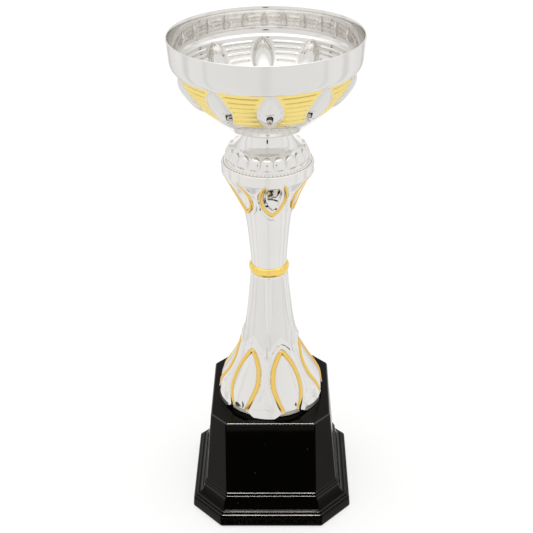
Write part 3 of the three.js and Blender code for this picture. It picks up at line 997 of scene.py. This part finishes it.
def build_upper_riser(context):
    settings = settings_of(context)
    azimuth = around(RISER_COLUMNS)
    wall = Wall(upper_wall())
    z = heights(UPPER_BOTTOM, (187.0, 22), (213.5, 104), (LEDGE - 0.75, 6))
    height, gilt, low = upper_relief(wall, azimuth, z, settings.riser)
    outside = place(*wall.raised(z, height), azimuth)
    web = LEDGE - 4.0
    lip_round = 1.15
    rim_r = LIP_RADIUS - lip_round
    top = [
        *arc((rim_r, LEDGE + 0.1), (lip_round, lip_round), 0, 84, 10),
        (rim_r - 0.02, LEDGE + lip_round),
        (rim_r - 0.03, LEDGE + 0.1),
        (rim_r - 0.35, LEDGE),
        (HOLE_RADIUS, LEDGE),
        (HOLE_RADIUS, web),
        (21.0, web),
    ]
    inner_z = np.linspace(web - 4.0, UPPER_BOTTOM, 9)
    inside = np.stack([wall.radius(inner_z) - 2.0, inner_z], 1)
    rest = plain_rows(np.vstack([top, inside]), azimuth)
    marks = {"gilt": padded(gilt, len(rest)), "low": padded(low, len(rest))}
    mesh = grid_mesh("upper_riser", np.concatenate([outside, rest]), PLATE_SHARP, marks)
    add_piece("upper_riser_shell", mesh, riser_material(settings), "riser_plate", "upper_riser")


# ---------------------------------------------------------------- collar


def beaded_edge(collar, azimuth):
    """Rows of the collar's beaded edge, and how deep each column lies in a notch. Each bead is a
    swelling of the rounded edge, with a notch on both sides."""
    radius = 0.8
    centre_r = reach("collar") - radius
    centre_z = COLLAR_BOTTOM + radius
    bead = arc((centre_r, centre_z), (radius, radius), -80, 125, 20)
    notch = 1 - np.abs(np.cos(azimuth * collar.bead_count / 2)) ** 0.6
    shrink = 1 - collar.bead_rise / MM / radius * notch
    r = centre_r + (bead[:, 0:1] - centre_r) * shrink
    z = centre_z + (bead[:, 1:2] - centre_z) * shrink
    return place(r, z, azimuth), notch


def lobed_bell(collar, azimuth):
    """Rows of the collar's bell with lobes round its shoulder, and painted shade in the valleys between the
    lobes.
    """
    bell = spline([(22.0, 219.0), (21.6, 221.2), (20.3, 224.0), (18.3, 226.1), (16.2, 227.6),
                   (14.2, 229.8), (12.8, 232.6), (11.7, COLLAR_TOP - 0.3)], 10)
    wall = Wall(spaced(bell, 0.3))
    z = wall.z[:, None]
    lobe = from_axis(azimuth, 0.0, collar.lobe_count) * collar.lobe_count / math.pi
    crown = np.sqrt(np.clip(1 - 0.96 * lobe ** 2, 0.0, 1.0))
    lobe_top = 225.6 - 1.5 * lobe ** 2
    rise = fall(-0.35, 0.35, z - lobe_top) * ease(219.0, 222.0, z)
    height = collar.lobe_rise / MM * rise * crown
    return place(*wall.raised(z, height), azimuth), (1 - crown) * rise * 0.5


def build_collar(context):
    settings = settings_of(context)
    collar = settings.collar
    azimuth = around(collar.bead_count * 10)
    edge, notch = beaded_edge(collar, azimuth)
    bell, valley = lobed_bell(collar, azimuth)
    web = COLLAR_TOP - 1.8
    inside = plain_rows([
        (11.2, COLLAR_TOP), (HOLE_RADIUS, COLLAR_TOP), (HOLE_RADIUS, web), (10.2, web), (13.6, 229.0),
        (16.4, 225.0), (20.0, 220.0), (20.3, COLLAR_BOTTOM),
    ], azimuth)
    grid = np.concatenate([edge, bell, inside])
    # Painted shade in the notches between the beads and in the valleys between the lobes.
    low = padded(np.concatenate([0.6 * notch.repeat(len(edge), 0), valley]), len(inside))
    mesh = grid_mesh("collar", grid, PLATE_SHARP, {"gilt": np.zeros(grid.shape[:2]), "low": low})
    add_piece("collar_bell", mesh, riser_material(settings), "riser_plate", "collar")


# ---------------------------------------------------------------- bowl

BOSS_LINE = [
    (0.0, 247.6), (2.3, 249.8), (4.4, 252.4), (5.7, 255.5), (6.1, 258.5), (5.6, 262.0), (4.3, 265.0),
    (2.5, 267.6), (1.0, 269.0), (0.0, 269.4),
]
CUP_BOTTOM, CUP_TOP = 238.1, 269.2
GROOVES = (251.4, 254.6, 257.9, 260.9, 263.8, 266.6)
GILT_FROM, GILT_TO = 248.6, 269.1


def bowl_wall():
    cup = spline([(21.6, CUP_BOTTOM), (28.6, 244.0), (37.0, 253.0), (43.4, 262.0), (46.0, CUP_TOP)], 12)
    band = spline([(47.8, 269.8), (49.0, 272.4), (49.4, 277.0), (BOWL_RADIUS, BOWL_TOP)], 12)
    step = curve(cup[-1], (46.2, 269.75), band[0], 5)
    return np.vstack([cup, step[1:-1], band])


def bowl_relief(wall, azimuth, z, bowl):
    """How far the sheet is pressed outwards, its gilt, and its painted shade in the grooves and round the
    bosses.
    """
    off = np.abs(from_axis(azimuth, bowl.boss_turn, bowl.boss_count))
    line = spline(BOSS_LINE, 5)
    gap = wall.distance(off, z, line)
    across = off * wall.radius(z)
    edge = np.interp(z, line[:, 1], line[:, 0], 0.0, 0.0)
    inside = across < edge
    height = np.where(inside, bowl.boss_rise / MM * swell(gap, 5.6), 0.0)

    # Grooves pressed into the gilt, which end short of the boss on either side.
    margin = bowl.groove_margin / MM
    half = bowl.groove_half / MM
    half_pitch = math.pi / bowl.boss_count
    run = wall.along(z)
    low = np.zeros_like(height)
    for level in GROOVES:
        boss = np.interp(level, line[:, 1], line[:, 0])
        start = boss + margin + 0.12 * max(0.0, level - 262.0)
        beyond = np.clip(start - across, 0.0, None)
        past_middle = np.clip(across - half_pitch * wall.radius(z), 0.0, None)
        away = np.hypot(beyond + past_middle, run - wall.along(level))
        height -= bowl.groove_depth / MM * ridge(away, half)
        # Painted shade along the middle of each groove.
        low = np.maximum(low, ridge(away, 0.42))

    # A fine step rings the cup below the gilt.
    height -= 0.3 * fall(-0.35, 0.35, z - 243.2) * ease(238.2, 241.0, z)

    gilt = np.where(inside, 0.0, ease(0.0, 0.9, gap))
    gilt = gilt * ease(-0.25, 0.25, z - GILT_FROM) * fall(-0.2, 0.2, z - GILT_TO)
    # Painted shade round the inside and outside of each boss's outline.
    boss_edge_shade = np.where(inside, 0.4 * fall(0.2, 2.2, gap), 0.4 * fall(0.0, 0.5, gap))
    return height, gilt, np.maximum(low, boss_edge_shade)


def build_bowl(context):
    settings = settings_of(context)
    bowl = settings.bowl
    azimuth = around(440)
    wall = Wall(bowl_wall())
    z = heights(CUP_BOTTOM, (246.5, 10), (CUP_TOP, 76), (271.6, 8), (BOWL_TOP - 0.5, 8))
    height, gilt, low = bowl_relief(wall, azimuth, z, bowl)
    sheet = bowl.sheet / MM
    outside = place(*wall.raised(z, height), azimuth)
    inside = place(*wall.raised(z, height - sheet), azimuth)[::-1]
    half = sheet / 2
    rim_line = arc((BOWL_RADIUS - half - 0.02, BOWL_TOP - 0.42), (half, 0.42), 0, 180, 8)
    bottom = BOWL_BOTTOM + sheet
    floor_line = [(20.6, bottom + 0.2), (19.0, bottom), (HOLE_RADIUS, bottom),
                  (HOLE_RADIUS, BOWL_BOTTOM), (19.5, BOWL_BOTTOM), (20.8, BOWL_BOTTOM + 0.25)]
    grid = np.concatenate([outside, plain_rows(rim_line, azimuth), inside, plain_rows(floor_line, azimuth)])
    marks = {}
    # The inside of the sheet has no gilt and a quarter of the outside's painted shade.
    for name, values, inner in (("gilt", gilt, 0.0 * gilt), ("low", low, 0.25 * low)):
        outer = padded(values, len(rim_line))
        marks[name] = np.concatenate([outer, padded(inner[::-1], len(floor_line))])
    finish = settings.finish
    material = plate_material("bowl_silver", finish.silver, finish.bowl_gilt, finish.silver_roughness,
                              0.3, 0.02)
    add_piece("bowl_cup", grid_mesh("bowl", grid, PLATE_SHARP, marks), material, "silver_plate", "bowl")


# ---------------------------------------------------------------- fasteners and seats


def zinc():
    return shared("zinc_plate", zinc_material)


def hexagonal(name, outline, flats, columns=96):
    """A turned blank whose sides are cut to a hexagon."""
    azimuth = around(columns)
    side = from_axis(azimuth, 0.0, 6)
    hexagon = flats / 2 / np.cos(side)
    points = eased(outline, 0.25)
    r = np.minimum(points[:, 0:1], hexagon)
    return grid_mesh(name, place(r, points[:, 1:2], azimuth), 28)


def build_washers(context):
    washer_radius = 9.0
    for node in ("ballast_washer", "boss_washer", "bowl_washer"):
        mesh = turned(node + "_disc", box_outline(HOLE_RADIUS, washer_radius, *levels(node)))
        add_piece(node + "_disc", mesh, zinc(), "zinc_steel", node)
    for node in ("ballast_spring_washer", "boss_spring_washer"):
        material_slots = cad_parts[node].data.materials
        material_slots.clear()
        material_slots.append(zinc())


def build_nuts(context):
    flats = 10.0
    corner = flats / math.sqrt(3)

    def lower_end(bottom):
        return [(HOLE_RADIUS, bottom), (corner - 0.9, bottom), (corner + 0.1, bottom + 0.6)]

    for node in ("ballast_nut", "boss_nut"):
        bottom, top = levels(node)
        outline = lower_end(bottom) + [(corner + 0.1, top - 0.6), (corner - 0.9, top), (HOLE_RADIUS, top)]
        add_piece(node + "_hex", hexagonal(node, outline, flats), zinc(), "zinc_steel", node)
    bottom, top = levels("cap_nut")
    skirt = bottom + 5.5
    dome = arc((0.0, skirt + 0.4), (4.7, top - skirt - 0.4), 0, 89.5, 20)
    outline = [
        *lower_end(bottom), (corner + 0.1, skirt - 0.7), (corner - 1.1, skirt), *dome,
        (0.02, top - 0.05), (0.02, bottom + 9.6), (HOLE_RADIUS, bottom + 9.0),
    ]
    add_piece("cap_nut_dome", hexagonal("cap_nut", outline, flats), zinc(), "zinc_steel", "cap_nut")


def build_tie_rod(context):
    """The rod is threaded all the way, one millimetre to the turn."""
    bottom, top = levels("tie_rod")
    azimuth = around(20)
    z = np.arange(bottom, top, 0.25)[:, None]
    phase = (z + azimuth / (2 * math.pi)) % 1.0
    depth = 0.55 * np.clip(1 - np.abs(phase - 0.5) * 2.2, 0.0, 1.0)
    point = 0.6 * fall(0.0, 0.7, np.minimum(z - bottom, top - z))
    rows = place(3.0 - depth - point, z, azimuth)
    ends = [plain_rows([(0.02, level)], azimuth) for level in (bottom, top)]
    mesh = grid_mesh("tie_rod", np.concatenate([ends[0], rows, ends[1]]), 50)
    add_piece("tie_rod_stud", mesh, zinc(), "zinc_steel", "tie_rod")


def build_seats(context):
    nylon = moulded_material("natural_nylon", (0.74, 0.71, 0.62), (0.66, 0.62, 0.52), 0.45, 0.5, 0.03,
                             Subsurface_Weight=0.15, Subsurface_Scale=0.001)
    rubber = moulded_material("black_rubber", (0.012, 0.012, 0.013), (0.02, 0.02, 0.021), 0.75, 0.3, 0.04)
    pad = turned("bowl_pad_disc", box_outline(HOLE_RADIUS, 10.0, *levels("bowl_pad")))
    add_piece("bowl_pad_disc", pad, nylon, "nylon", "bowl_pad")
    seat = turned("bowl_seat_disc", box_outline(HOLE_RADIUS, 10.5, *levels("bowl_seat")))
    add_piece("bowl_seat_disc", seat, rubber, "seat_rubber", "bowl_seat")
    bottom, top = levels("locating_disc")
    radius = reach("locating_disc")
    outline = [(HOLE_RADIUS, bottom), (radius, bottom), (radius, bottom + 3.0), (8.0, bottom + 3.0),
               (6.0, top), (HOLE_RADIUS, top)]
    disc = turned("locating_disc_hub", outline, 128, 0.5)
    add_piece("locating_disc_hub", disc, nylon, "nylon", "locating_disc")


# ---------------------------------------------------------------- stage


BLACK = (0.0, 0.0, 0.0, 1.0)
TENT_WHITE = (1.0, 0.994, 0.983, 1.0)


def stage_object(name, points, faces, material, glossy_only=False):
    """A thing on the stage, from points in metres. It can be one that only shiny pieces show."""
    mesh = bpy.data.meshes.new(name)
    mesh.from_pydata(points, [], faces)
    mesh.materials.append(material)
    thing = bpy.data.objects.new(name, mesh)
    bpy.context.scene.collection.objects.link(thing)
    if glossy_only:
        thing.visible_camera = False
        thing.visible_diffuse = False
        thing.visible_shadow = False
        thing.visible_transmission = False


def floor_material():
    """Pale paper, bright enough to leave only a faint shade under the trophy."""
    material, graph = new_material("pale_floor")
    paper = graph.noise(graph.place(), 2.0, 3.0)
    graph.surface(
        Base_Color=graph.mix(paper * 0.04, (0.36, 0.36, 0.36, 1.0), (0.3, 0.3, 0.3, 1.0)),
        Roughness=0.9,
        Specular_IOR_Level=0.0,
        Emission_Color=(1.0, 1.0, 1.0, 1.0),
        Emission_Strength=0.62,
    )
    return material


def panel_material():
    """The lower part of the tent's panels, as the bright metal sees them."""
    material, graph = new_material("tent_panels")
    x, y, _ = graph.split(graph.place())
    strongest = 1.2
    graph.surface(
        Base_Color=BLACK,
        Roughness=1.0,
        Specular_IOR_Level=0.0,
        Emission_Color=tent_colour(graph, x, y, strongest),
        Emission_Strength=strongest,
    )
    return material


def tent_colour(graph, x, y, strength):
    """The tent's colour for a light of this strength."""
    return graph.mix(tent_tone(graph, x, y) * (1 / strength), BLACK, TENT_WHITE)


def tent_tone(graph, x, y):
    """Brightness of the tent's panels, by azimuth either way from the front, with a darker seam
    where two of them meet."""
    angle = graph.add("ShaderNodeMath", {"operation": "ARCTAN2"}, {0: x, 1: y * -1})
    off = angle.math("ABSOLUTE", angle) * math.degrees(1)
    tone = off.rise(5.0, 60.0) * 0.03 + 0.905
    for start, end, change in ((70.0, 95.0, 0.03), (118.0, 135.0, -0.09), (153.0, 160.0, 0.18)):
        tone = tone + off.rise(start, end) * change
    for centre, half, depth in ((0.0, 9.0, 0.05), (72.0, 5.0, 0.07), (103.0, 8.0, 0.14),
                                (147.0, 8.0, 0.18)):
        gap = off - centre
        tone = tone - (1 - gap.math("ABSOLUTE", gap).rise(0.3 * half, half)) * depth
    return tone


def build_floor():
    """The floor in view, and just over it the tent's panels, which show only in bright metal."""
    radius = 8.0
    sides = 128
    for name, z, material, glossy_only in (("floor", -0.4, floor_material(), False),
                                           ("floor_panels", -0.3, panel_material(), True)):
        points = place(radius / MM, z, around(sides)[0]) * MM
        stage_object(name, points.tolist(), [range(sides)], material, glossy_only)


def build_flags():
    """Black strips that stand on the floor before the plinth, seen only in its gloss."""
    material, graph = new_material("flag_black")
    graph.surface(Base_Color=BLACK, Roughness=1.0, Specular_IOR_Level=0.0)
    for name, y, half, top in (("flag_near", -0.0497, 0.036, 0.004), ("flag_far", -0.058, 0.075, 0.050)):
        corners = [(-half, y, 0.0), (half, y, 0.0), (half, y, top), (-half, y, top)]
        stage_object(name, corners, [range(4)], material, True)


def build_lens_shade(centre):
    """The dark front of a camera, seen only in the bright metal."""
    material, graph = new_material("lens_black")
    graph.surface(Base_Color=(0.01, 0.01, 0.01, 1.0), Roughness=0.6)
    radius = 0.035
    sides = 32
    azimuth = around(sides)[0]
    points = np.stack([radius * np.cos(azimuth), 0 * azimuth, radius * np.sin(azimuth)], 1) + centre
    stage_object("lens_shade", points.tolist(), [range(sides)], material, True)


def build_world(context, brightness):
    """A light tent that is brightest overhead."""
    world = bpy.data.worlds.new("light_tent")
    world.use_nodes = True
    context.scene.world = world
    graph = Graph(world.node_tree)
    x, y, z = graph.split(graph.add("ShaderNodeTexCoord", output="Generated"))
    overhead = 1.6
    side = tent_colour(graph, x, y, overhead)
    whole = graph.mix(z.rise(0.64, 0.90), side, (1.0, 0.998, 0.99, 1.0))
    background = graph.add("ShaderNodeBackground", None,
                           {"Color": whole, "Strength": brightness * overhead})
    graph.add("ShaderNodeOutputWorld", None, {"Surface": background})


def build_bar(power):
    """A long soft bar over the trophy, for the bright lines on the plinth's level edges."""
    lit = bpy.data.collections.new("bar_lit")
    lit.objects.link(bpy.data.objects["plinth_body"])
    light = bpy.data.lights.new("bar", "AREA")
    light.shape = "RECTANGLE"
    light.size = 0.6
    light.size_y = 0.24
    light.energy = power
    lamp = bpy.data.objects.new("bar", light)
    lamp.location = (0.0, -0.17, 1.15)
    lamp.visible_diffuse = False
    lamp.light_linking.receiver_collection = lit
    bpy.context.scene.collection.objects.link(lamp)


def build_camera(context, stage):
    """The camera stands in front and above, and looks down at the trophy."""
    yaw, pitch, roll = stage.yaw, stage.pitch, stage.roll
    level = Vector((math.sin(yaw), math.cos(yaw), 0.0))
    right = Vector((math.cos(yaw), -math.sin(yaw), 0.0))
    up = Vector((0.0, 0.0, 1.0))
    ahead = math.cos(pitch) * level - math.sin(pitch) * up
    above = math.sin(pitch) * level + math.cos(pitch) * up
    across = math.cos(roll) * right - math.sin(roll) * above
    above = math.sin(roll) * right + math.cos(roll) * above
    matrix = Matrix((across, above, -ahead)).transposed().to_4x4()
    matrix.translation = Vector((stage.sideways, -stage.distance, stage.height))
    data = bpy.data.cameras.new("camera")
    data.lens = stage.lens
    data.sensor_width = 36.0
    data.clip_start = 0.01
    camera = bpy.data.objects.new("camera", data)
    camera.matrix_world = matrix
    context.scene.collection.objects.link(camera)
    context.scene.camera = camera


def build_stage(context):
    stage = settings_of(context).stage
    context.scene.view_settings.view_transform = "Standard"
    context.scene.cycles.max_bounces = 24
    context.scene.cycles.glossy_bounces = 16
    build_camera(context, stage)
    build_floor()
    build_flags()
    build_lens_shade((stage.sideways, -stage.distance - 0.01, stage.height))
    build_world(context, stage.surroundings)
    build_bar(stage.bar)


# ---------------------------------------------------------------- operators


class Build:
    """What every operator here shares: it calls its build function once."""

    bl_options = {"REGISTER", "UNDO"}

    def execute(self, context):
        type(self).build(context)
        return {"FINISHED"}


class TROPHY_OT_stage(Build, bpy.types.Operator):
    """Set up the floor, lights and camera"""
    bl_idname = "trophy.stage"
    bl_label = "Stage"
    build = staticmethod(build_stage)


class TROPHY_OT_plinth(Build, bpy.types.Operator):
    """Build the gloss black plinth"""
    bl_idname = "trophy.plinth"
    bl_label = "Plinth"
    build = staticmethod(build_plinth)


class TROPHY_OT_underside(Build, bpy.types.Operator):
    """Build the felt pad and the board over it"""
    bl_idname = "trophy.underside"
    bl_label = "Underside"
    build = staticmethod(build_underside)


class TROPHY_OT_ballast(Build, bpy.types.Operator):
    """Build the iron casting inside the plinth"""
    bl_idname = "trophy.ballast"
    bl_label = "Ballast"
    build = staticmethod(build_ballast)


class TROPHY_OT_lower_riser(Build, bpy.types.Operator):
    """Build the lower riser with its arches and reeds"""
    bl_idname = "trophy.lower_riser"
    bl_label = "Lower riser"
    build = staticmethod(build_lower_riser)


class TROPHY_OT_joining_ring(Build, bpy.types.Operator):
    """Build the gilt ring between the risers"""
    bl_idname = "trophy.joining_ring"
    bl_label = "Joining ring"
    build = staticmethod(build_joining_ring)


class TROPHY_OT_upper_riser(Build, bpy.types.Operator):
    """Build the upper riser with its V's and petals"""
    bl_idname = "trophy.upper_riser"
    bl_label = "Upper riser"
    build = staticmethod(build_upper_riser)


class TROPHY_OT_collar(Build, bpy.types.Operator):
    """Build the lobed collar with its beaded edge"""
    bl_idname = "trophy.collar"
    bl_label = "Collar"
    build = staticmethod(build_collar)


class TROPHY_OT_bowl(Build, bpy.types.Operator):
    """Build the pressed bowl with its bosses and gilt ribs"""
    bl_idname = "trophy.bowl"
    bl_label = "Bowl"
    build = staticmethod(build_bowl)


class TROPHY_OT_washers(Build, bpy.types.Operator):
    """Build the plain washers and finish the spring washers"""
    bl_idname = "trophy.washers"
    bl_label = "Washers"
    build = staticmethod(build_washers)


class TROPHY_OT_nuts(Build, bpy.types.Operator):
    """Build the two nuts and the cap nut"""
    bl_idname = "trophy.nuts"
    bl_label = "Nuts"
    build = staticmethod(build_nuts)


class TROPHY_OT_tie_rod(Build, bpy.types.Operator):
    """Build the threaded rod through the whole stack"""
    bl_idname = "trophy.tie_rod"
    bl_label = "Tie rod"
    build = staticmethod(build_tie_rod)


class TROPHY_OT_seats(Build, bpy.types.Operator):
    """Build the nylon and rubber seats"""
    bl_idname = "trophy.seats"
    bl_label = "Seats"
    build = staticmethod(build_seats)


OPERATORS = (
    TROPHY_OT_plinth,
    TROPHY_OT_underside,
    TROPHY_OT_ballast,
    TROPHY_OT_lower_riser,
    TROPHY_OT_joining_ring,
    TROPHY_OT_upper_riser,
    TROPHY_OT_collar,
    TROPHY_OT_bowl,
    TROPHY_OT_washers,
    TROPHY_OT_nuts,
    TROPHY_OT_tie_rod,
    TROPHY_OT_seats,
    TROPHY_OT_stage,
)


class TROPHY_PT_panel(bpy.types.Panel):
    """Lists the trophy's settings and the pieces to build"""

    bl_idname = "TROPHY_PT_panel"
    bl_label = "Cup Trophy"
    bl_space_type = "VIEW_3D"
    bl_region_type = "UI"
    bl_category = "Trophy"

    def draw(self, context):
        settings = settings_of(context)
        for name in ("bowl", "collar", "riser", "plinth", "finish", "stage"):
            box = self.layout.box()
            box.label(text=name.capitalize())
            group = getattr(settings, name)
            for key in type(group).__annotations__:
                box.prop(group, key)
        column = self.layout.column(align=True)
        for operator in OPERATORS:
            column.operator(operator.bl_idname)


CLASSES = (
    BowlSettings,
    RiserSettings,
    CollarSettings,
    PlinthSettings,
    FinishSettings,
    StageSettings,
    TrophySettings,
    *OPERATORS,
    TROPHY_PT_panel,
)


def register():
    for item in CLASSES:
        bpy.utils.register_class(item)
    bpy.types.Scene.cup_trophy = PointerProperty(type=TrophySettings)


def unregister():
    del bpy.types.Scene.cup_trophy
    for item in reversed(CLASSES):
        bpy.utils.unregister_class(item)


def main():
    register()
    for operator in OPERATORS:
        group, name = operator.bl_idname.split(".")
        getattr(getattr(bpy.ops, group), name)()
    bpy.context.view_layer.update()


if __name__ == "__main__":
    main()
